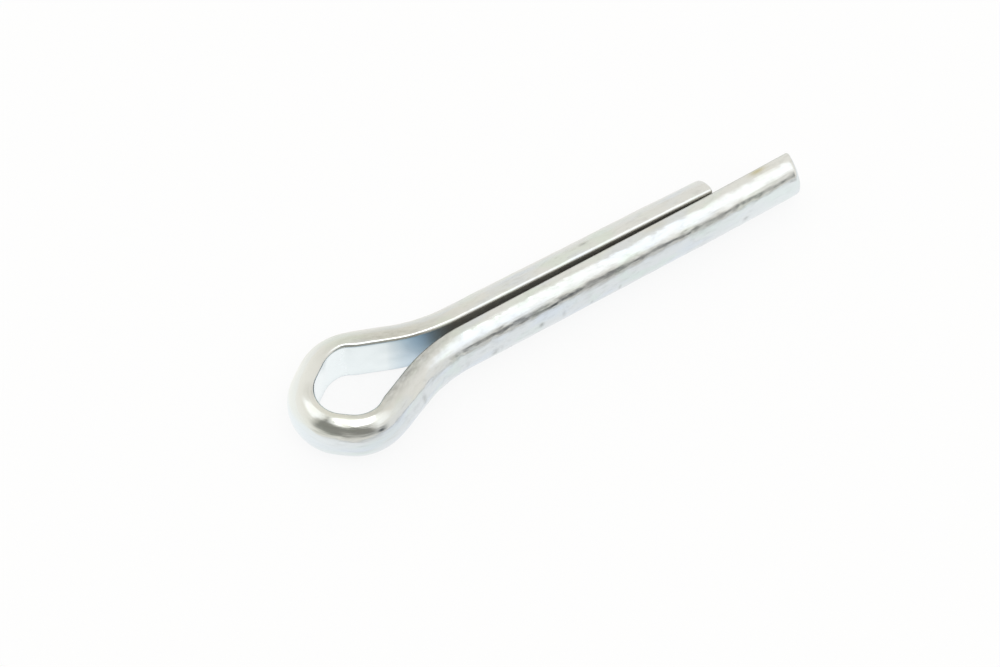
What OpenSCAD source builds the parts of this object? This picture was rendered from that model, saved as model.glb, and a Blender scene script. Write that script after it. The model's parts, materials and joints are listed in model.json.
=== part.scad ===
// Split pin: one length of half-round wire folded into an eye and two legs.
// Millimetres, +Z up. The origin is on the shank's axis where the straight legs
// begin, +X runs along the shank to the tips, and the long leg is on the -Y side.
// The pin lies on its side, with the plane of the eye level.

/* [Wire] */
// Diameter over both legs, half-way along the short one
shank_d = 5.6; // [4.6:0.1:7]
// Height of the wire over its two long edges
wire_h = 5.38; // [4.6:0.02:5.4]
// Rounding of the two long edges
edge_r = 0.52; // [0.2:0.02:0.6]
// How much slimmer the wire is drawn on its bends than on its straights
bend_draw = 0.02; // [0.01:0.01:0.04]

/* [Legs] */
// Length of the short leg, from the end of the neck bend to the tip
short_leg_l = 26.5; // [18:0.5:60]
// How far the long leg reaches past the short leg
long_leg_extra = 7.85; // [4:0.05:12]
// Gap between the two flats where the legs begin
neck_gap = 0.52; // [0.4:0.02:0.9]
// Gap between the two flats at the tip of the short leg
tip_gap = 0.08; // [0.06:0.02:0.3]
// Angle the end of the long leg is set in, in degrees
set_angle = 0.9; // [0.4:0.1:3]
// Radius of the small bend that sets it in
set_r = 40; // [25:1:80]
// How far before the short leg's tip that bend starts
set_back = 2; // [1:0.1:6]
// Rounding of the sheared edges at both tips
tip_edge_r = 0.4; // [0.14:0.02:0.5]

/* [Eye] */
// Widest distance between the flats inside the eye
eye_inside_w = 6.44; // [5.8:0.02:9]
// Inside length of the eye, from the nose to where the straight legs begin
eye_inside_l = 14.2; // [12:0.1:19]
// Distance from the inside of the nose back to the widest point
shoulder_at = 3.58; // [3:0.02:4.4]
// How much farther back the widest point is on the short leg's side
shoulder_skew = 0.5; // [0:0.02:0.6]
// Inside radius of the nose bend
nose_r = 2.4; // [2:0.05:3]
// Inside radius of the two shoulder bends
shoulder_r = 2.7; // [1.8:0.05:2.9]
// Straight stretch between each shoulder bend and the reverse bend at the neck
neck_straight = 3.8; // [1:0.1:6]
// How far the eye sits over towards the long leg
eye_over = 0.3; // [0:0.02:0.4]
// How far the nose sits over towards the long leg
nose_over = 0.48; // [0:0.02:0.6]

/* [Hidden] */
$fn = 96;
steel = [0.72, 0.76, 0.77];
wire_r = shank_d / 2;
// The round is struck from the shank's axis half-way along the short leg, so there
// the flat stands off by half of the gap.
flat_off = (neck_gap + tip_gap) / 4;
lean = atan((neck_gap - tip_gap) / 2 / short_leg_l);
// A bend runs this far on into the straight beside it.
bite = 0.05;
// The rounding at a tip stops this far short of a smooth run into the side.
crease = 0.02;
// Each side of the eye as [nose y, widest y, widest x from the nose], seen with that side up.
short_side = [-nose_over, eye_inside_w / 2 - eye_over, shoulder_at + shoulder_skew / 2];
long_side = [nose_over, eye_inside_w / 2 + eye_over, shoulder_at - shoulder_skew / 2];

function bearing(v) = atan2(v.y, v.x);
// A unit vector to the left of a heading
function left(heading) = [-sin(heading), cos(heading)];
function ahead(heading) = [cos(heading), sin(heading)];
function nose_c(s) = [nose_r - eye_inside_l, s[0]];
function shoulder_c(s) = [s[2] - eye_inside_l, s[1] - shoulder_r];
// Where the straight leg begins, on its flat
leg_start = [0, neck_gap / 2];
// Radius of the reverse bend that leaves the neck's straight stretch its length
function neck_r(s) =
  let (a = shoulder_c(s) - leg_start)
  (a * a - pow(shoulder_r, 2) - pow(neck_straight, 2)) / (2 * (shoulder_r + a * left(-lean)));
function neck_c(s) = leg_start + neck_r(s) * left(-lean);
function flank_run(s) = shoulder_c(s) - nose_c(s);
function taper_run(s) = neck_c(s) - shoulder_c(s);
// Headings of the two straights of the eye, each tangent to the bends at its ends
function flank(s) = bearing(flank_run(s)) - asin((nose_r - shoulder_r) / norm(flank_run(s)));
function taper(s) = bearing(taper_run(s)) - atan((shoulder_r + neck_r(s)) / neck_straight);
function flank_l(s) = sqrt(pow(norm(flank_run(s)), 2) - pow(nose_r - shoulder_r, 2));

// Half-round wire: the flat is on x = 0 and the round side faces +x.
module wire_section(draw = 0) {
  half_h = wire_h / 2 - draw;
  intersection() {
    translate([-flat_off, 0]) circle(r = wire_r - draw);
    union() {
      translate([draw, edge_r - half_h]) square([wire_r, 2 * (half_h - edge_r)]);
      translate([draw + edge_r, -half_h]) square([wire_r, 2 * half_h]);
      for (end = [-1, 1])
        translate([draw + edge_r, end * (half_h - edge_r)]) circle(r = edge_r);
    }
  }
}

// Turns a run along +z, with its round side to +x, to lie at p on a heading.
module along(p, heading) {
  translate([p.x, p.y, 0]) rotate([0, 0, heading]) rotate([90, 0, 90]) children();
}

module straight(p, heading, l) {
  along(p, heading) linear_extrude(l) wire_section();
}

// A bend round a centre to the right, so the flat is inside
module bend_in(c, r, from, to) {
  over = bite / r * 180 / PI;
  translate([c.x, c.y, 0])
    rotate_extrude(angle = from - to + 2 * over, start = to + 90 - over)
      translate([r, 0]) wire_section(bend_draw);
}

// A bend round a centre to the left, so the flat is outside
module bend_out(c, r, from, to) {
  over = bite / r * 180 / PI;
  translate([c.x, c.y, 0])
    rotate_extrude(angle = to - from + 2 * over, start = from - 90 - over)
      translate([r, 0]) mirror([1, 0]) wire_section(bend_draw);
}

// Outline of a run of length l whose far corner, at radius r, is rounded
module blunt_outline(r, l) {
  square([r + 1, l - tip_edge_r]);
  square([r - tip_edge_r + crease, l]);
  translate([r - tip_edge_r + crease, l - tip_edge_r]) circle(r = tip_edge_r);
}

// A straight that ends in a sheared tip with its edges knocked off
module tip(p, heading, l) {
  along(p, heading) intersection() {
    linear_extrude(l) wire_section();
    translate([-flat_off, 0, 0]) rotate_extrude() blunt_outline(wire_r, l);
    translate([wire_r, wire_h, 0]) rotate([90, 0, 0]) linear_extrude(2 * wire_h)
      mirror([1, 0]) blunt_outline(wire_r, l);
  }
}

// One side from the nose's end to the start of the leg, with its side up
module eye_side(s) {
  straight(nose_c(s) + nose_r * left(flank(s)), flank(s), flank_l(s));
  bend_in(shoulder_c(s), shoulder_r, flank(s), taper(s));
  straight(shoulder_c(s) + shoulder_r * left(taper(s)), taper(s), neck_straight);
  bend_out(neck_c(s), neck_r(s), taper(s), -lean);
}

module nose() {
  bend_in(nose_c(short_side), nose_r, 180 - flank(long_side), flank(short_side));
}

module short_leg() {
  tip(leg_start, -lean, short_leg_l / cos(lean));
}

module long_leg() {
  run = (short_leg_l - set_back) / cos(lean);
  bend_at = leg_start + run * ahead(-lean);
  set_c = bend_at - set_r * left(-lean);
  heading = -lean - set_angle;
  tip_at = set_c + set_r * left(heading);
  straight(leg_start, -lean, run);
  bend_in(set_c, set_r, -lean, heading);
  tip(tip_at, heading, (short_leg_l + long_leg_extra - tip_at.x) / cos(heading));
}

module split_pin() {
  color(steel) {
    nose();
    eye_side(short_side);
    short_leg();
    mirror([0, 1, 0]) {
      eye_side(long_side);
      long_leg();
    }
  }
}

split_pin();
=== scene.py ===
"""Looks of the split pin: one swept length of half-round plated wire, on a pale floor in soft light.

All sizes are in metres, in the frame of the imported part. The origin is on the shank's axis where the
straight legs begin, +X runs to the tips, +Z is up and the short leg is on the +Y side.
"""

import json
import math

import bpy
import numpy as np
from bpy.props import FloatProperty, FloatVectorProperty, IntProperty, PointerProperty
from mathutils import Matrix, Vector


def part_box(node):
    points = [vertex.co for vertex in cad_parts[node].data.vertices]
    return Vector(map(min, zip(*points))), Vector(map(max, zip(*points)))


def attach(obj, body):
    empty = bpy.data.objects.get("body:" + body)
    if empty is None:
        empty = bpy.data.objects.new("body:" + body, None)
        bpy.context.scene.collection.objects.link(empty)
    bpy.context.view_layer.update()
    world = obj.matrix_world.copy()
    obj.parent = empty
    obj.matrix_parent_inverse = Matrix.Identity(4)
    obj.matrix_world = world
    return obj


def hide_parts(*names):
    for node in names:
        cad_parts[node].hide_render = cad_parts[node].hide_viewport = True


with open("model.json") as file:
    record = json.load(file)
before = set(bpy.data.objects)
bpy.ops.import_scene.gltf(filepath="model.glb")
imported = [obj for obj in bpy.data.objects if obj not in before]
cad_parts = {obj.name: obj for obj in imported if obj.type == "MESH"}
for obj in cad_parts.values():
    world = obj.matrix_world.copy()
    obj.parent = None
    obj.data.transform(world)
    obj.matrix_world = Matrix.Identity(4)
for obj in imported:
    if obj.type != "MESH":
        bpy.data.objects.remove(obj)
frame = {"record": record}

bl_info = {
    "name": "Split pin",
    "version": (1, 0, 0),
    "blender": (4, 5, 0),
    "location": "3D View > Sidebar > Split pin",
    "description": "Builds the wire of a split pin with its finish, and a studio stage for it",
    "category": "Add Mesh",
}

NODE = "split_pin"
PIECE = "split_pin_wire"
MM = 0.001
LOW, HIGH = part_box(NODE)
SHANK = next(m for m in frame["record"]["mounts"] if m["name"] == "shank")
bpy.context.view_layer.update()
# Which ends of the wire's runs, as wire_runs lists them from the short tip, bound the legs and bends.
SHORT_NECK, SHORT_NECK_END, SHORT_SHOULDER, LONG_SHOULDER_END, LONG_NECK_END = 1, 2, 3, 8, 10

# Marks on the round side: place along the wire and angle round it, then length, width and depth in
# millimetres, how far the mark leans over as it runs along, and how dull it has gone.
DENTS = (
    ("far leg nick", 12.75, 61, 0.56, 0.30, 0.034, 0.0, 0.9),
    ("far leg peck", 15.5, 62, 0.30, 0.16, 0.014, 0.0, 0.35),
    ("far leg dimple", 4.0, 60, 0.50, 0.30, 0.008, 0.0, 0.15),
    ("eye bruise", 52.1, 14, 0.34, 0.85, 0.030, -0.6, 0.45),
    ("neck dimple", 58.4, 5, 0.40, 0.75, 0.014, 0.0, 0.2),
    ("heel scrape", 61.4, -5, 0.50, 0.70, 0.026, -0.3, 0.55),
    ("heel nick", 62.1, -1, 0.22, 0.50, 0.010, -0.6, 0.3),
    ("near leg peck", 66.2, 5, 0.36, 0.40, 0.032, 0.3, 0.7),
    ("long scrape", 68.5, 2, 0.26, 0.95, 0.016, -0.7, 0.3),
    ("low nick", 71.4, -7, 0.24, 0.50, 0.018, -0.4, 0.35),
    ("low cut", 74.3, -6, 0.22, 0.50, 0.020, -0.5, 0.45),
    ("line breach", 74.4, 38, 0.42, 0.26, 0.006, 0.3, 0.0),
    ("second breach", 87.4, 38, 0.30, 0.30, 0.006, 0.0, 0.0),
    ("tip peck", 87.5, -1, 0.38, 0.50, 0.036, 0.6, 0.8),
)
# Lengthwise grooves left by the drawing die: start and end along the wire, angle, width and depth.
GROOVES = (
    (87.6, 93.2, 44.5, 0.09, 0.007),
    (85.4, 88.0, 47.0, 0.07, 0.005),
    (64.6, 68.8, 40.0, 0.06, 0.004),
    (58.2, 59.4, 81.0, 0.05, 0.005),
    (61.0, 63.4, 80.0, 0.05, 0.005),
    (64.0, 66.2, 82.0, 0.05, 0.004),
    (0.6, 27.0, 77.6, 0.06, 0.006),
)
# Yellowed places in the plating, two of them a yellow tint painted on highlights, places where it is
# dull, and brighter places that paint brighter reflections: along the wire, angle, length and width in
# millimetres, and how strong.
STAINS_AND_HIGHLIGHT_TINTS = (
    (90.1, 79, 1.1, 0.35, 0.85),
    (90.6, 68, 1.6, 0.5, 0.15),
    (79.4, 77, 1.6, 0.4, 0.25),
    # The yellow of these two rows paints the warm colour of the soft boxes' highlights on the nose.
    (43.2, 64, 0.9, 0.8, 0.35),
    (45.4, 66, 4.6, 1.6, 0.28),
    (32.0, 72, 12.0, 2.6, 0.14),
)
DULLED = (
    (53.0, 82, 8.0, 1.2, 0.66),
    (33.0, 76, 7.0, 1.4, 0.36),
    (42.0, 76, 1.0, 1.2, 0.4),
)
# Brighter places on the round side, given the flat side's colour: painted brighter reflections of the floor
# on the nose and near the long tip.
PAINTED_BRIGHT_PATCHES = (
    (40.9, 12, 5.4, 4.0, 1.0),
    (91.5, 4, 9.0, 4.5, 0.4),
)


def length_prop(label, description, millimetres):
    return FloatProperty(
        name=label, description=description, default=millimetres * MM, unit="LENGTH", precision=5
    )


def colour_prop(label, description, colour):
    return FloatVectorProperty(
        name=label, description=description, default=colour, subtype="COLOR", min=0, max=4
    )


class WireSettings(bpy.types.PropertyGroup):
    """Section and legs of the wire"""

    shank_radius: length_prop(
        "Shank radius", "Radius round both legs, half-way along the short one", SHANK["dims"]["r_mm"]
    )
    wire_height: length_prop("Wire height", "Height over the wire's long edges", (HIGH.z - LOW.z) / MM)
    short_leg: length_prop("Short leg", "From the end of the neck bend to the tip", 26.5)
    long_extra: length_prop("Long leg's extra", "How far the long leg reaches past the short one", 7.85)
    neck_gap: length_prop("Neck gap", "Gap between the flats where the legs begin", 0.52)
    tip_gap: length_prop("Tip gap", "Gap between the flats at the short leg's tip", 0.08)
    edge_radius: length_prop("Edge radius", "Rounding of the wire's long edges", 0.5)
    corner_radius: length_prop("Corner radius", "Where a long edge turns into the flat", 0.3)
    corner_angle: FloatProperty(
        name="Corner angle",
        description="How far round the edge the corner begins",
        default=math.radians(138),
        subtype="ANGLE",
    )
    set_angle: FloatProperty(
        name="Set angle", description="Turn of the long leg's end", default=math.radians(0.9), subtype="ANGLE"
    )
    set_radius: length_prop("Set radius", "Radius of the small bend that sets the end in", 40)
    set_back: length_prop("Set back", "How far before the short tip that bend starts", 2)
    tip_round: length_prop("Tip rounding", "Rounding of the sheared edge on the round side", 0.42)
    bend_ease: length_prop("Bend ease", "Length over which a straight runs into a bend", 0.5)


class EyeSettings(bpy.types.PropertyGroup):
    """Shape of the eye, inside the wire"""

    inside_width: length_prop("Inside width", "Widest distance between the flats", 6.44)
    inside_length: length_prop("Inside length", "From the nose to where the legs begin", 14.2)
    shoulder_at: length_prop("Shoulder at", "From the nose back to the widest point", 3.58)
    shoulder_skew: length_prop("Shoulder skew", "How much farther back the short leg's shoulder is", 0.5)
    nose_radius: length_prop("Nose radius", "Inside radius of the nose bend", 2.4)
    shoulder_radius: length_prop("Shoulder radius", "Inside radius of the shoulder bends", 2.7)
    neck_straight: length_prop("Neck straight", "Straight stretch between shoulder and neck bends", 3.8)
    eye_over: length_prop("Eye over", "How far the eye sits over to the long leg", 0.3)
    nose_over: length_prop("Nose over", "How far the nose sits over to the long leg", 0.48)


class SurfaceSettings(bpy.types.PropertyGroup):
    """Ripple and marks in the wire's surface"""

    step: length_prop("Step", "Distance between rings of the mesh", 0.125)
    ripple: length_prop("Ripple", "Depth of the uneven drawn surface", 0.0055)
    ripple_along: length_prop("Ripple length", "How far a ripple runs along the wire", 2.0)
    ripple_round: length_prop("Ripple width", "How far a ripple runs round the wire", 0.42)
    scuff: length_prop("Scuff", "Depth of the fine unevenness", 0.0044)
    sway: length_prop("Sway", "Depth of the slow waves in the round side", 0.012)
    leg_thin: length_prop("Leg thinning", "How far the short leg's flat draws back", 0.055)
    bend_thin: length_prop("Bend thinning", "How far the flat side draws back in the tight bends", 0.16)
    bend_press: length_prop("Bend press", "How far the tight bends are flattened on their outside", 0.08)
    seed: IntProperty(name="Seed", description="Which ripple is drawn", default=7)


class FinishSettings(bpy.types.PropertyGroup):
    """Plating of the wire"""

    zinc: colour_prop("Zinc", "Colour of the plating", (0.72, 0.755, 0.77))
    green: colour_prop("Green", "Where the clear coat over the zinc looks greenish", (0.69, 0.765, 0.745))
    mauve: colour_prop("Mauve", "Where it looks bluish to lavender", (0.69, 0.745, 0.80))
    # Also laid on the round side's painted bright patches.
    flat: colour_prop("Flat", "Plating on the flat side in the eye", (0.88, 0.935, 0.945))
    # Yellow of the stains, and of the painted warm tint of the highlights on the nose.
    stain_and_highlight_tint: colour_prop("Stain", "Yellowed spots", (0.50, 0.47, 0.27))
    dull: colour_prop("Dull", "Places where the plating has gone dull", (0.34, 0.355, 0.35))
    # Bluer and darker than the flat colour: a bluish plating, with painted shade where the eye narrows to the
    # neck.
    deep: colour_prop("Deep", "Plating of the flat side where the eye narrows", (0.55, 0.67, 0.76))
    # Painted shade: a dark colour for the flats of the legs, where they face each other across the gap.
    gap_shade: colour_prop("Dusty", "Dull film on the flats of the legs, in the gap", (0.38, 0.36, 0.31))
    roughness: FloatProperty(name="Roughness", description="Of the clean plating", default=0.15, min=0, max=1)
    line_depth: length_prop("Line depth", "Depth of the fine drawn lines", 0.006)


class StageSettings(bpy.types.PropertyGroup):
    """Floor, lamps and camera"""

    floor: colour_prop("Floor", "Colour of the floor", (0.90, 0.93, 0.97))
    glow: FloatProperty(name="Glow", description="Share of the floor's own light", default=0.86, min=0, max=1)
    shine: FloatProperty(name="Shine", description="The same, in the wire", default=0.955, min=0, max=1)
    warm_floor: colour_prop("Warm floor", "The floor in the wire, from behind it", (1.0, 0.965, 0.905))
    far_floor: colour_prop("Far floor", "The floor in the wire, from far in front", (0.50, 0.50, 0.49))
    dome: colour_prop("Dome", "Light from the room's pale walls", (0.99, 0.935, 0.85))
    shade: colour_prop("Shade", "Light from the room's dark side", (0.31, 0.30, 0.27))
    strip: colour_prop("Strip", "Light from the dark line over the floor's edge", (0.10, 0.105, 0.11))
    soft_box: colour_prop("Soft box", "Light from the bright panels", (1.40, 1.37, 1.33))
    azimuth: FloatProperty(
        name="Azimuth", description="Where the camera stands", default=math.radians(-120.87), subtype="ANGLE"
    )
    elevation: FloatProperty(
        name="Elevation", description="Of the camera", default=math.radians(59.77), subtype="ANGLE"
    )
    distance: FloatProperty(name="Distance", description="Of the camera", default=0.5313, unit="LENGTH")
    lens: FloatProperty(name="Lens", description="Focal length", default=216, unit="CAMERA")
    aim_along: length_prop("Aim along", "A point on the shank's axis, from the origin", 8.99)
    aim_right: length_prop("Aim right", "The camera's aim, right of that point", -3.94)
    aim_up: length_prop("Aim up", "The camera's aim, above that point", -3.60)


# Shape of the wire ----------------------------------------------------------------------------


def heading(angle):
    """Unit vector at an angle from +X."""
    return np.array([math.cos(angle), math.sin(angle)])


def lean_of(wire):
    """Angle at which each leg leans in: half of what the gap loses, over the short leg's length."""
    return math.atan((wire.neck_gap - wire.tip_gap) / 2 / wire.short_leg)


def eye_side(wire, eye, over, widest, at):
    """One side of the eye, seen with that side up, as headings and lengths.

    The nose bend and the shoulder bend are circles. The flank is their outer tangent, whose heading is
    that of the line of centres less the angle whose sine is the radii's difference over that line's
    length. The neck bend is the circle that touches the leg at its start and leaves the straight
    before it its length: its radius follows from Pythagoras on the line of centres.
    """
    lean = lean_of(wire)
    nose = np.array([eye.nose_radius - eye.inside_length, over])
    shoulder = np.array([at - eye.inside_length, widest - eye.shoulder_radius])
    leg_start = np.array([0, wire.neck_gap / 2])
    up = heading(math.pi / 2 - lean)
    back = shoulder - leg_start
    neck_radius = (back @ back - eye.shoulder_radius**2 - eye.neck_straight**2) / (
        2 * (eye.shoulder_radius + back @ up)
    )
    run = shoulder - nose
    step = eye.nose_radius - eye.shoulder_radius
    flank = math.atan2(run[1], run[0]) - math.asin(step / np.linalg.norm(run))
    flank_length = math.sqrt(run @ run - step**2)
    run = leg_start + neck_radius * up - shoulder
    taper = math.atan2(run[1], run[0]) - math.atan2(eye.shoulder_radius + neck_radius, eye.neck_straight)
    return flank, flank_length, taper, neck_radius


def wire_runs(wire, eye):
    """The flat's line as (length, curvature) of each straight and bend, from short tip to long tip."""
    lean = lean_of(wire)
    half = eye.inside_width / 2
    skew = eye.shoulder_skew / 2
    short = eye_side(wire, eye, -eye.nose_over, half - eye.eye_over, eye.shoulder_at + skew)
    long = eye_side(wire, eye, eye.nose_over, half + eye.eye_over, eye.shoulder_at - skew)

    def side(flank, flank_length, taper, neck_radius):
        return [
            (flank_length, 0),
            ((flank - taper) * eye.shoulder_radius, 1 / eye.shoulder_radius),
            (eye.neck_straight, 0),
            (-(lean + taper) * neck_radius, -1 / neck_radius),
        ]

    nose = ((math.pi - short[0] - long[0]) * eye.nose_radius, 1 / eye.nose_radius)
    before_set = (wire.short_leg - wire.set_back) / math.cos(lean)
    past_set = wire.set_back + wire.long_extra - wire.set_radius * wire.set_angle
    return [
        (wire.short_leg / math.cos(lean), 0),
        *side(*short)[::-1],
        nose,
        *side(*long),
        (before_set, 0),
        (wire.set_radius * wire.set_angle, 1 / wire.set_radius),
        (past_set / math.cos(lean + wire.set_angle), 0),
    ]


def flat_line(wire, eye, step):
    """Places, headings and lengths along the middle of the wire's flat.

    The heading is the running sum of length times curvature, averaged over the ease at each bend's
    ends. The place is the running sum of steps along the heading, from the short leg's tip.
    """
    runs = np.array(wire_runs(wire, eye))
    knots = np.concatenate([[0], np.cumsum(runs[:, 0])])
    turned = np.concatenate([[0], np.cumsum(runs[:, 0] * runs[:, 1])])
    fine = 0.01 * MM
    count = int(round(knots[-1] / fine))
    s = np.linspace(0, knots[-1], count + 1)
    turn = np.interp(s, knots, turned)
    ease = max(int(round(wire.bend_ease / fine)), 1)
    padded = np.pad(turn, ease, mode="edge")
    turn = np.convolve(padded, np.full(ease, 1 / ease), "same")[ease:-ease]
    angle = math.pi - lean_of(wire) + turn
    middle = (angle[1:] + angle[:-1]) / 2
    pace = s[1] - s[0]
    x = wire.short_leg + np.concatenate([[0], np.cumsum(np.cos(middle) * pace)])
    y = wire.tip_gap / 2 + np.concatenate([[0], np.cumsum(np.sin(middle) * pace)])
    rings = np.linspace(0, knots[-1], int(round(knots[-1] / step)) + 1)
    return rings, np.interp(rings, s, x), np.interp(rings, s, y), np.interp(rings, s, angle), knots


def half_round(wire):
    """Section of the wire as points (out, up) with their outward normals, once round.

    The upper half is four arcs, each touching the next, and the flat. The round is struck from the
    shank's axis, half a mean gap behind the flat. The corner touches the flat, and the long edge's arc
    ends where the corner starts. A blend joins the top of that arc to the round: a circle that touches
    the wire's top line at a, seen from the axis, has the radius (R squared - a squared - h squared)
    over 2 (R - h) when it also touches the round, with h half the wire's height.
    """
    radius = wire.shank_radius
    off = (wire.neck_gap + wire.tip_gap) / 4
    half = wire.wire_height / 2
    edge, corner, turn = wire.edge_radius, wire.corner_radius, wire.corner_angle
    edge_out = corner - (edge - corner) * math.cos(turn)
    a = edge_out + off
    blend = (radius**2 - a**2 - half**2) / (2 * (radius - half))
    meet = math.atan2(half - blend, a)
    runs = (
        ((-off, 0), radius, 0, meet, 38),
        ((edge_out, half - blend), blend, meet, math.pi / 2, 6),
        ((edge_out, half - edge), edge, math.pi / 2, turn, 7),
        ((corner, half - edge + (edge - corner) * math.sin(turn)), corner, turn, math.pi, 5),
    )
    points, normals = [], []
    for centre, size, start, end, count in runs:
        t = np.linspace(start, end, count + 1)[1:]
        facing = np.stack([np.cos(t), np.sin(t)], 1)
        points.append(np.array(centre) + size * facing)
        normals.append(facing)
    z = np.linspace(points[-1][-1, 1], 0, 6)[1:-1]
    points.append(np.stack([0 * z, z], 1))
    normals.append(np.stack([0 * z - 1, 0 * z], 1))
    upper, facing = np.concatenate(points), np.concatenate(normals)
    mirror = np.array([1, -1])
    middle = np.array([[radius - off, 0], [0, 0]])
    outward = np.array([[1, 0], [-1, 0]])
    return (
        np.concatenate([middle[:1], upper, middle[1:], (upper * mirror)[::-1]]),
        np.concatenate([outward[:1], facing, outward[1:], (facing * mirror)[::-1]]),
    )


def smooth_noise(rng, rows, row_step, places, girth, reach):
    """Random field of unit spread, that closes round the wire, at each row and place round it.

    White noise on an even grid is multiplied, in its Fourier transform, by a bell curve whose width
    along each axis goes as one over the reach. The field at a place is blended from the two columns
    beside it.
    """
    columns = 192
    white = np.fft.rfft2(rng.standard_normal((rows, columns)))
    along = np.fft.fftfreq(rows, row_step)[:, None]
    around = np.fft.rfftfreq(columns, girth / columns)[None, :]
    bell = np.exp(-2 * math.pi**2 * ((along * reach[0]) ** 2 + (around * reach[1]) ** 2))
    field = np.fft.irfft2(white * bell, s=(rows, columns))
    column = places / girth * columns
    left = column.astype(int)
    share = column - left
    blended = field[:, left % columns] * (1 - share) + field[:, (left + 1) % columns] * share
    return blended / field.std()


def bump_at(s, across, place, size, lean=0.0):
    """Bell of height one: e to the minus half of the squared distance, each way over its size."""
    along = s - place[0]
    side = across - place[1]
    return np.exp(-0.5 * (((along - lean * side) / size[0]) ** 2 + (side / size[1]) ** 2))


def bend_share(s, knots):
    """How much each ring is thinned by the bends of the eye, from 0 to 1, easing in and out."""
    ease = 1.6 * MM
    share = np.clip((s - knots[SHORT_SHOULDER]) / ease + 0.5, 0, 1)
    share = share * np.clip((knots[LONG_SHOULDER_END] - s) / ease + 0.5, 0, 1)
    return share * share * (3 - 2 * share)


def eye_share(s, knots):
    """How much each ring belongs to the eye, from 0 on the legs to 1, easing over the neck bends."""
    ease = 6.5 * MM
    since_neck, to_neck = s - knots[SHORT_NECK], knots[LONG_NECK_END] - s
    return np.clip(since_neck / ease, 0, 1) * np.clip(to_neck / ease, 0, 1)


def leg_share(s, knots):
    """How much each ring is thinned on the short leg: from 0 at its tip to 1, and to 0 over the neck bend."""
    ease = 5 * MM
    neck, neck_end = knots[SHORT_NECK], knots[SHORT_NECK_END]
    share = np.clip(s / ease, 0, 1) * np.clip((neck_end - s) / (neck_end - neck), 0, 1)
    return share * share * (3 - 2 * share)


def angle_round(section, wire):
    """Angle of each section point about the shank's axis."""
    return np.arctan2(section[:, 1], section[:, 0] + (wire.neck_gap + wire.tip_gap) / 4)


def relief(s, section, normals, knots, wire, surface):
    """Height of the surface over the plain sweep, outward, at each ring and section point.

    The ripple, the scuffs and the slow sway of drawn wire are added up, and fade from the round side to a
    tenth on the long edges and the flat. The thinning of the wire and the marks are taken off.
    """
    rng = np.random.default_rng(surface.seed)
    sides = np.linalg.norm(np.diff(section, axis=0, append=section[:1]), axis=1)
    places = np.concatenate([[0], np.cumsum(sides)[:-1]])
    waves = (
        (surface.ripple, surface.ripple_along, surface.ripple_round),
        (surface.sway, 3 * MM, 1.1 * MM),
        (surface.scuff, 0.26 * MM, 0.15 * MM),
    )
    height = 0
    for depth, along, around in waves:
        field = smooth_noise(rng, len(s), s[1] - s[0], places, sides.sum(), (along, around))
        height = height + depth * field
    outward = normals[None, :, 0]
    on_flat, rise = 0.1, 2.6
    height = height * np.clip(outward * rise + on_flat, on_flat, 1)
    drawn = surface.bend_press * np.clip(outward, 0, 1) + surface.bend_thin * np.clip(-outward, 0, 1)
    height = height - drawn * bend_share(s, knots)[:, None]
    height = height - surface.leg_thin * np.clip(-outward, 0, 1) * leg_share(s, knots)[:, None]
    across = angle_round(section, wire)[None, :] * wire.shank_radius
    short_of_flat = -0.4
    outside = outward > short_of_flat
    for _, place, degrees, long, wide, deep, lean, _ in DENTS:
        centre = (place * MM, math.radians(degrees) * wire.shank_radius)
        size = (long * MM / 2, wide * MM / 2)
        height = height - deep * MM * outside * bump_at(s[:, None], across, centre, size, lean)
    for start, end, degrees, wide, deep in GROOVES:
        fade = np.clip((s - start * MM) / MM, 0, 1) * np.clip((end * MM - s) / MM, 0, 1)
        side = across - math.radians(degrees) * wire.shank_radius
        height = height - deep * MM * outside * fade[:, None] * np.exp(-0.5 * (side / (wide * MM)) ** 2)
    return height


def spots(s, section, wire, places):
    """How much each ring and section point lies in one of the places: the highest of their bells."""
    across = angle_round(section, wire)[None, :] * wire.shank_radius
    bells = []
    for place, degrees, long, wide, strength in places:
        centre = (place * MM, math.radians(degrees) * wire.shank_radius)
        bells.append(strength * bump_at(s[:, None], across, centre, (long * MM / 2, wide * MM / 2)))
    return np.max(bells, axis=0)


def wire_looks(s, section, normals, knots, wire):
    """Stain and painted highlight tint, dullness and brightness of each ring and section point, each from 0
    to 1.
    """
    facing_in = np.clip((-normals[:, 0] - 0.8) / 0.18, 0, 1)
    flat = facing_in[None, :] * eye_share(s, knots)[:, None]
    dirty = [(place, degrees, long, wide, dull) for _, place, degrees, long, wide, _, _, dull in DENTS]
    dull = spots(s, section, wire, (*DULLED, *dirty))
    # Bright: the flat side in the eye, and the round side's patches that paint brighter reflections.
    bright = np.maximum(flat, spots(s, section, wire, PAINTED_BRIGHT_PATCHES))
    return np.stack([spots(s, section, wire, STAINS_AND_HIGHLIGHT_TINTS), dull, bright], 2)


def rings_to_tips(s, tip_round):
    """Place of each ring along the wire, how far it draws in, and its scale.

    At each tip the rings draw in along a quarter circle, and then shrink to the middle of the end.
    """
    turn = np.linspace(0, math.pi / 2, 7)
    draw_in = tip_round * (1 - np.sin(turn))
    set_in = tip_round * (1 - np.cos(turn))
    shrink = np.array([0.12, 0.3, 0.5, 0.68, 0.84, 0.94])
    drawn = np.full(len(shrink), draw_in[0])
    ring_s = s[(s > tip_round) & (s < s[-1] - tip_round)]
    place = np.concatenate([0 * shrink, set_in, ring_s, s[-1] - set_in[::-1], s[-1] + 0 * shrink])
    inset = np.concatenate([drawn, draw_in, 0 * ring_s, draw_in[::-1], drawn])
    scale = np.concatenate([shrink, np.ones(len(place) - 2 * len(shrink)), shrink[::-1]])
    return place, inset, scale


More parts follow.
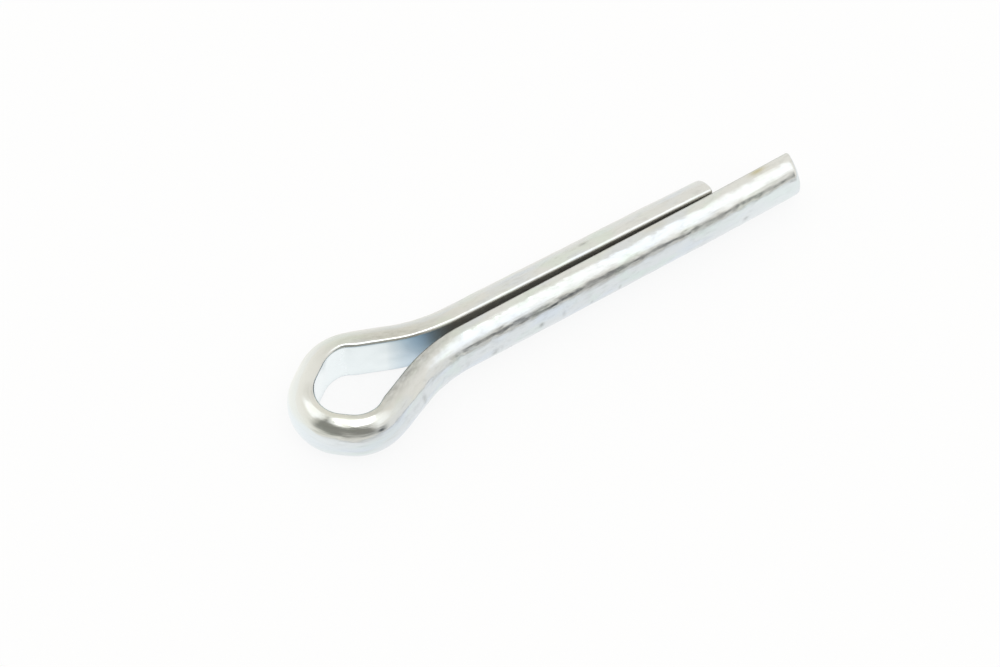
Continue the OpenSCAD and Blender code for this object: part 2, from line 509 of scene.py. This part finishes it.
def wire_grid(wire, eye, surface):
    """Vertices of the wire as rings, with where each lies on the wire if it were straight.

    A ring is the section moved out along its normals by the relief, then set square to the flat's line.
    The tips are rounded under half as much at the long edges and the flat as on the round, and their
    end faces are a little uneven, as sheared wire is.
    """
    s, x, y, angle, knots = flat_line(wire, eye, surface.step)
    section, normals = half_round(wire)
    height = relief(s, section, normals, knots, wire, surface)
    looks = wire_looks(s, section, normals, knots, wire)
    place, inset, scale = rings_to_tips(s, wire.tip_round)
    row = np.clip(np.round(place / (s[1] - s[0])).astype(int), 0, len(s) - 1)
    least = 0.45
    roll = least + (1 - least) * np.clip(normals[:, 0], 0, 1)[None, :]
    lift = height[row] - inset[:, None] * roll
    points = section[None] + lift[..., None] * normals[None]
    middle = points.mean(axis=1, keepdims=True)
    points = middle + (points - middle) * scale[:, None, None]
    end_face = (scale < 1)[:, None]
    rng = np.random.default_rng(surface.seed + 1)
    torn = 0.014 * MM * rng.standard_normal(points.shape[:2]) * end_face * scale[:, None] ** 2
    from_end = np.minimum(place, s[-1] - place)[:, None]
    torn = torn - (1 - roll) * np.where(from_end < wire.tip_round, from_end, 0)
    heading_at = np.interp(place, s, angle)[:, None]
    along = torn * np.where(place < s[-1] / 2, 1, -1)[:, None]
    px = np.interp(place, s, x)[:, None]
    py = np.interp(place, s, y)[:, None]
    vertices = np.stack(
        [
            px + np.sin(heading_at) * points[..., 0] + np.cos(heading_at) * along,
            py - np.cos(heading_at) * points[..., 0] + np.sin(heading_at) * along,
            points[..., 1],
        ],
        axis=2,
    )
    straight = np.broadcast_to(place[:, None, None], points.shape[:2] + (1,))
    unbent = np.concatenate([straight, points], axis=2)
    return vertices, unbent, looks[row] * ~end_face[..., None]


def closed_grid(rows, columns):
    """Quads of a grid that closes round its columns, as vertex numbers in the order that faces out."""
    start = np.arange(rows - 1)[:, None] * columns
    this = np.arange(columns)[None, :]
    following = (this + 1) % columns
    above = start + columns
    quads = np.stack([start + this, above + this, above + following, start + following], 2)
    return quads.reshape(-1, 4)


def wire_mesh(wire, eye, surface):
    """Mesh of the wire: the rings joined by quads, and a fan of triangles at the middle of each end."""
    vertices, unbent, looks = wire_grid(wire, eye, surface)
    rows, columns = vertices.shape[:2]
    poles = np.array([vertices[0].mean(0), vertices[-1].mean(0)])
    unbent_poles = np.array([unbent[0].mean(0), unbent[-1].mean(0)])
    quads = closed_grid(rows, columns)
    this = np.arange(columns)
    following = (this + 1) % columns
    first = rows * columns
    last_ring = (rows - 1) * columns
    short_fan = np.stack([this, following, np.full(columns, first)], 1)
    long_fan = np.stack([last_ring + following, last_ring + this, np.full(columns, first + 1)], 1)
    mesh = bpy.data.meshes.new(PIECE)
    faces = quads.tolist() + short_fan.tolist() + long_fan.tolist()
    mesh.from_pydata(np.concatenate([vertices.reshape(-1, 3), poles]), [], faces)
    place = mesh.attributes.new("unbent", "FLOAT_VECTOR", "POINT")
    place.data.foreach_set("vector", np.concatenate([unbent.reshape(-1, 3), unbent_poles]).ravel())
    change = mesh.attributes.new("looks", "FLOAT_VECTOR", "POINT")
    change.data.foreach_set("vector", np.concatenate([looks.reshape(-1, 3), 0 * poles]).ravel())
    mesh.shade_smooth()
    mesh.update()
    return mesh


# Node helpers -----------------------------------------------------------------------------------


def node(tree, kind, inputs=None, **options):
    """A new node with its options set. An input's value may be a plain value or another node's output."""
    made = tree.nodes.new(kind)
    for name, value in options.items():
        setattr(made, name, value)
    for name, value in (inputs or {}).items():
        if isinstance(value, bpy.types.NodeSocket):
            tree.links.new(value, made.inputs[name])
        else:
            made.inputs[name].default_value = value
    return made


def maths(tree, operation, a, b=0.0, c=0.0):
    """Output of a Math node."""
    return node(tree, "ShaderNodeMath", {0: a, 1: b, 2: c}, operation=operation).outputs[0]


def product(tree, a, b):
    """Output of a Math node that multiplies."""
    return maths(tree, "MULTIPLY", a, b)


def blend_colours(tree, share, a, b):
    """Output of a colour mix from a to b."""
    mix = node(tree, "ShaderNodeMix", {"Factor": share}, data_type="RGBA")
    for socket, value in ((mix.inputs[6], a), (mix.inputs[7], b)):
        if isinstance(value, bpy.types.NodeSocket):
            tree.links.new(value, socket)
        else:
            socket.default_value = (*value, 1)
    return mix.outputs[2]


def noise_on(tree, place, scale, detail=2.0, roughness=0.5):
    """Noise that is stretched differently along and round the wire: scale is waves a metre, each way."""
    spread = node(
        tree, "ShaderNodeMapping", {"Vector": place, "Scale": scale}, vector_type="POINT"
    ).outputs["Vector"]
    return node(
        tree, "ShaderNodeTexNoise", {"Vector": spread, "Scale": 1.0, "Detail": detail, "Roughness": roughness}
    ).outputs["Fac"]


def stretch(tree, value, low, high, to_low=0.0, to_high=1.0):
    """Output that goes from to_low to to_high as value goes from low to high, and stays there."""
    return node(
        tree,
        "ShaderNodeMapRange",
        {"Value": value, "From Min": low, "From Max": high, "To Min": to_low, "To Max": to_high},
        clamp=True,
    ).outputs[0]


def plating_colour(tree, finish, place, looks, in_gap, gap_shade):
    """Slow patches of green and mauve in the clear coat, darker flecks, dull places and yellowed spots,
    and a yellow tint that paints the warm colour of some highlights.

    The flat side is brighter in the eye. In the gap of the legs it takes a dark film colour, which is
    painted shade between the legs. Between the two it is bluer and darker, a bluish plating with painted
    shade where the eye narrows, by the brightness times what it leaves of one.
    """
    stain_and_highlight_tint, dull, flat = looks
    green = stretch(tree, noise_on(tree, place, (310, 520, 520), 2.0), 0.48, 0.66)
    mauve = stretch(tree, noise_on(tree, place, (240, 700, 700), 2.0), 0.50, 0.68)
    mottle = noise_on(tree, place, (1100, 2600, 2600), 3.0, 0.6)
    flecks = stretch(tree, mottle, 0.50, 0.72, 0.0, 0.17)
    patchy = product(tree, dull, stretch(tree, mottle, 0.36, 0.64, 0.55, 1.35))
    peak = product(tree, flat, maths(tree, "SUBTRACT", 1.0, flat))
    layers = (
        (green, finish.green),
        (mauve, finish.mauve),
        (maths(tree, "MAXIMUM", patchy, flecks), finish.dull),
        (stain_and_highlight_tint, finish.stain_and_highlight_tint),
        # The flat side in the eye, and the painted bright patches, take the flat colour.
        (flat, finish.flat),
        # Bluish plating and painted shade on the flat where the eye narrows.
        (product(tree, product(tree, in_gap, peak), 3.6), finish.deep),
        # Painted shade in the gap between the legs, on their flats.
        (product(tree, gap_shade, 0.7), finish.gap_shade),
    )
    colour = finish.zinc
    for share, over in layers:
        colour = blend_colours(tree, share, colour, over)
    return colour


def drawn_bump(tree, finish, place, flat):
    """Normal of fine lines and hairs along the wire, streaks, and scuffs across them, weaker on the flat."""
    lines = noise_on(tree, place, (90, 5200, 5200), 2.0, 0.6)
    hair = noise_on(tree, place, (320, 14000, 14000), 1.0)
    scuffs = noise_on(tree, place, (2600, 5200, 5200), 2.0)
    streaks = noise_on(tree, place, (650, 3400, 3400), 2.0)
    fine = maths(tree, "ADD", scuffs, lines)
    fine = maths(tree, "MULTIPLY_ADD", hair, 0.4, fine)
    fine = maths(tree, "MULTIPLY_ADD", streaks, 0.8, fine)
    depth = stretch(tree, flat, 0.0, 1.0, 1.0, 0.4)
    inputs = {"Height": fine, "Strength": depth, "Distance": finish.line_depth}
    return node(tree, "ShaderNodeBump", inputs).outputs["Normal"]


def plated_steel(finish):
    """Bright zinc over drawn steel, with smudges that change how sharp its reflections are."""
    material = bpy.data.materials.new("plated_steel_wire")
    material.use_nodes = True
    tree = material.node_tree
    tree.nodes.clear()
    place = node(tree, "ShaderNodeAttribute", attribute_name="unbent").outputs["Vector"]
    marked = node(tree, "ShaderNodeAttribute", attribute_name="looks").outputs["Vector"]
    looks = node(tree, "ShaderNodeSeparateXYZ", {"Vector": marked}).outputs[:]
    flat = looks[2]
    _, out_of_flat, _ = node(tree, "ShaderNodeSeparateXYZ", {"Vector": place}).outputs
    in_gap = stretch(tree, out_of_flat, 0.17 * MM, 0.09 * MM)
    # Where the shade in the gap between the legs is painted: the flats of the legs.
    gap_shade = product(tree, in_gap, stretch(tree, flat, 0.0, 0.5, 1.0, 0.0))
    smudge = noise_on(tree, place, (500, 900, 900), 3.0)
    rough = stretch(tree, smudge, 0.35, 0.7, finish.roughness - 0.05, finish.roughness + 0.10)
    inputs = {
        "Base Color": plating_colour(tree, finish, place, looks, in_gap, gap_shade),
        # A little less metal where the gap's shade is painted.
        "Metallic": stretch(tree, gap_shade, 0.0, 1.0, 1.0, 0.74),
        "Roughness": maths(tree, "MULTIPLY_ADD", in_gap, 0.2, rough),
        "Normal": drawn_bump(tree, finish, place, flat),
    }
    shader = node(tree, "ShaderNodeBsdfPrincipled", inputs)
    out = node(tree, "ShaderNodeOutputMaterial")
    tree.links.new(shader.outputs[0], out.inputs["Surface"])
    return material


class SPLITPIN_OT_wire(bpy.types.Operator):
    """Build the plated wire: a half-round section swept round the eye and down both legs"""

    bl_idname = "split_pin.wire"
    bl_label = "Build the wire"

    def execute(self, context):
        pin = context.scene.split_pin
        piece = bpy.data.objects.new(PIECE, wire_mesh(pin.wire, pin.eye, pin.surface))
        context.scene.collection.objects.link(piece)
        piece.data.materials.append(plated_steel(pin.finish))
        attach(piece, "root")
        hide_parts(NODE)
        return {"FINISHED"}


# Stage ------------------------------------------------------------------------------------------


def toward(azimuth, elevation):
    """Unit vector at an azimuth from +X and an elevation above the floor, in radians."""
    flat = math.cos(elevation)
    return Vector((flat * math.cos(azimuth), flat * math.sin(azimuth), math.sin(elevation)))


def view_axes(azimuth, elevation):
    """Direction to a place at an azimuth and elevation, with its right and up as seen from the pin."""
    out = toward(azimuth, elevation)
    right = out.cross(Vector((0, 0, 1))).normalized()
    return out, right, right.cross(out)


def dome_zone(tree, around, height, sides, levels, soft):
    """How much a ray lies in a zone of the dome, from 0 to 1, all in degrees.

    It is the product of four steps: past the left side, before the right side, above the low level and
    below the high level. The soft widths, sideways and upward, say how far each step is spread.
    """
    steps = [
        stretch(tree, around, sides[0] - soft[0], sides[0] + soft[0]),
        stretch(tree, around, sides[1] + soft[0], sides[1] - soft[0]),
        stretch(tree, height, levels[0] - soft[1], levels[0] + soft[1]),
        stretch(tree, height, levels[1] + soft[1], levels[1] - soft[1]),
    ]
    pairs = [product(tree, *steps[:2]), product(tree, *steps[2:])]
    return product(tree, *pairs)


def studio_dome(stage):
    """World: a pale room with soft boxes and a dark side. Seen straight by the camera it is white.

    A ray's height is the arc sine of its upward part. Around it is measured from -Y, to the left below 0.
    """
    world = bpy.data.worlds.new("studio_dome")
    world.use_nodes = True
    tree = world.node_tree
    tree.nodes.clear()
    ray = node(tree, "ShaderNodeTexCoord").outputs["Generated"]
    x, y, z = node(tree, "ShaderNodeSeparateXYZ", {"Vector": ray}).outputs
    behind = product(tree, y, -1.0)
    around = maths(tree, "DEGREES", maths(tree, "ARCTAN2", x, behind))
    height = maths(tree, "DEGREES", maths(tree, "ARCSINE", z))
    slanted = maths(tree, "MULTIPLY_ADD", around, 0.2, height)
    shade = dome_zone(tree, around, height, (-92, 8), (11, 70), (8, 8))
    strip = dome_zone(tree, around, height, (8, 23), (5, 19), (6, 4))
    colour = blend_colours(tree, shade, stage.dome, stage.shade)
    colour = blend_colours(tree, strip, colour, stage.strip)
    above = dome_zone(tree, around, slanted, (-82, 44), (47, 84), (8, 8))
    side = dome_zone(tree, around, height, (9, 43), (30, 64), (7, 7))
    window = dome_zone(tree, around, height, (-140, -98), (33, 66), (5, 5))
    lit = maths(tree, "MAXIMUM", maths(tree, "MAXIMUM", above, side), window)
    colour = blend_colours(tree, lit, colour, stage.soft_box)
    seen = node(tree, "ShaderNodeLightPath").outputs["Is Camera Ray"]
    colour = blend_colours(tree, seen, colour, (1, 1, 1))
    light = node(tree, "ShaderNodeBackground", {"Color": colour, "Strength": 1.0})
    out = node(tree, "ShaderNodeOutputWorld")
    tree.links.new(light.outputs[0], out.inputs["Surface"])
    return world


def lamp_panel(name, azimuth, elevation, distance, width, height, colour):
    """Lamp that faces the pin. Its power is pi times its area, so its face is as bright as its colour."""
    data = bpy.data.lights.new(name, "AREA")
    data.shape = "RECTANGLE"
    data.size = width
    data.size_y = height
    data.energy = math.pi * width * height
    data.color = colour
    lamp = bpy.data.objects.new(name, data)
    way = toward(math.radians(azimuth), math.radians(elevation))
    lamp.location = way * distance
    lamp.rotation_euler = way.to_track_quat("Z", "Y").to_euler()
    bpy.context.scene.collection.objects.link(lamp)
    return lamp


def pale_floor(stage):
    """Matt floor, seen from above only, that glows to the camera and in the wire where it lies open.

    In the wire the glow's share falls where the pin is within a fraction of a millimetre over the
    floor. What the wire shows of the floor is a little warmer behind it and greyer far in front.
    """
    material = bpy.data.materials.new("pale_floor")
    material.use_nodes = True
    tree = material.node_tree
    tree.nodes.clear()
    matt = node(tree, "ShaderNodeBsdfDiffuse", {"Color": (*stage.floor, 1)})
    ray = node(tree, "ShaderNodeLightPath")
    place = node(tree, "ShaderNodeTexCoord").outputs["Object"]
    _, y, _ = node(tree, "ShaderNodeSeparateXYZ", {"Vector": place}).outputs
    seen, shown = ray.outputs["Is Camera Ray"], ray.outputs["Is Glossy Ray"]
    behind = product(tree, stretch(tree, y, 3 * MM, 7 * MM), shown)
    ahead = product(tree, stretch(tree, y, -20 * MM, -120 * MM), shown)
    colour = blend_colours(tree, behind, (1, 1, 1), stage.warm_floor)
    colour = blend_colours(tree, ahead, colour, stage.far_floor)
    lit = node(tree, "ShaderNodeEmission", {"Color": colour, "Strength": 1.0})
    open_sky = node(tree, "ShaderNodeAmbientOcclusion", {"Distance": 0.4 * MM}, samples=8).outputs["AO"]
    share = product(tree, open_sky, product(tree, shown, stage.shine))
    top = node(tree, "ShaderNodeMixShader", {0: maths(tree, "MULTIPLY_ADD", seen, stage.glow, share)})
    tree.links.new(matt.outputs[0], top.inputs[1])
    tree.links.new(lit.outputs[0], top.inputs[2])
    clear = node(tree, "ShaderNodeBsdfTransparent")
    below = node(tree, "ShaderNodeNewGeometry").outputs["Backfacing"]
    mix = node(tree, "ShaderNodeMixShader", {0: below})
    tree.links.new(top.outputs[0], mix.inputs[1])
    tree.links.new(clear.outputs[0], mix.inputs[2])
    out = node(tree, "ShaderNodeOutputMaterial")
    tree.links.new(mix.outputs[0], out.inputs["Surface"])
    return material


class SPLITPIN_OT_stage(bpy.types.Operator):
    """Lay the floor, hang the lamps and stand the camera"""

    bl_idname = "split_pin.stage"
    bl_label = "Set the stage"

    def execute(self, context):
        scene = context.scene
        stage = scene.split_pin.stage
        reach = 3.0
        mesh = bpy.data.meshes.new("floor")
        corners = [(reach * x, reach * y, LOW.z) for x, y in ((-1, -1), (1, -1), (1, 1), (-1, 1))]
        mesh.from_pydata(corners, [], [(0, 1, 2, 3)])
        mesh.materials.append(pale_floor(stage))
        floor = bpy.data.objects.new("floor", mesh)
        scene.collection.objects.link(floor)
        scene.world = studio_dome(stage)
        lamp_panel("key_lamp", -105, 66, 1.0, 0.60, 0.40, stage.soft_box)
        self.stand_camera(scene, stage)
        scene.view_settings.view_transform = "Standard"
        return {"FINISHED"}

    @staticmethod
    def stand_camera(scene, stage):
        """The camera looks at its aim, which is set off from a point on the shank's axis."""
        data = bpy.data.cameras.new("camera")
        data.lens = stage.lens
        data.sensor_width = 36
        data.clip_start = 0.01
        data.clip_end = 20
        camera = bpy.data.objects.new("camera", data)
        back, left, up = view_axes(stage.azimuth, stage.elevation)
        aim = Vector((stage.aim_along, 0, 0)) - left * stage.aim_right + up * stage.aim_up
        camera.location = aim + back * stage.distance
        camera.rotation_euler = back.to_track_quat("Z", "Y").to_euler()
        scene.collection.objects.link(camera)
        scene.camera = camera


class SplitPinSettings(bpy.types.PropertyGroup):
    """Everything that can be set"""

    wire: PointerProperty(type=WireSettings)
    eye: PointerProperty(type=EyeSettings)
    surface: PointerProperty(type=SurfaceSettings)
    finish: PointerProperty(type=FinishSettings)
    stage: PointerProperty(type=StageSettings)


class SPLITPIN_PT_panel(bpy.types.Panel):
    """Panel in the sidebar with the pin's settings and its two steps"""

    bl_label = "Split pin"
    bl_space_type = "VIEW_3D"
    bl_region_type = "UI"
    bl_category = "Split pin"

    def draw(self, context):
        layout = self.layout
        pin = context.scene.split_pin
        for group in (pin.wire, pin.eye, pin.surface, pin.finish):
            box = layout.box()
            for name in group.__annotations__:
                box.prop(group, name)
        layout.operator(SPLITPIN_OT_wire.bl_idname)
        box = layout.box()
        for name in pin.stage.__annotations__:
            box.prop(pin.stage, name)
        layout.operator(SPLITPIN_OT_stage.bl_idname)


CLASSES = (
    WireSettings,
    EyeSettings,
    SurfaceSettings,
    FinishSettings,
    StageSettings,
    SplitPinSettings,
    SPLITPIN_OT_wire,
    SPLITPIN_OT_stage,
    SPLITPIN_PT_panel,
)


def register():
    for cls in CLASSES:
        bpy.utils.register_class(cls)
    bpy.types.Scene.split_pin = PointerProperty(type=SplitPinSettings)


def unregister():
    del bpy.types.Scene.split_pin
    for cls in reversed(CLASSES):
        bpy.utils.unregister_class(cls)


def main():
    register()
    bpy.ops.split_pin.wire()
    bpy.ops.split_pin.stage()


if __name__ == "__main__":
    main()
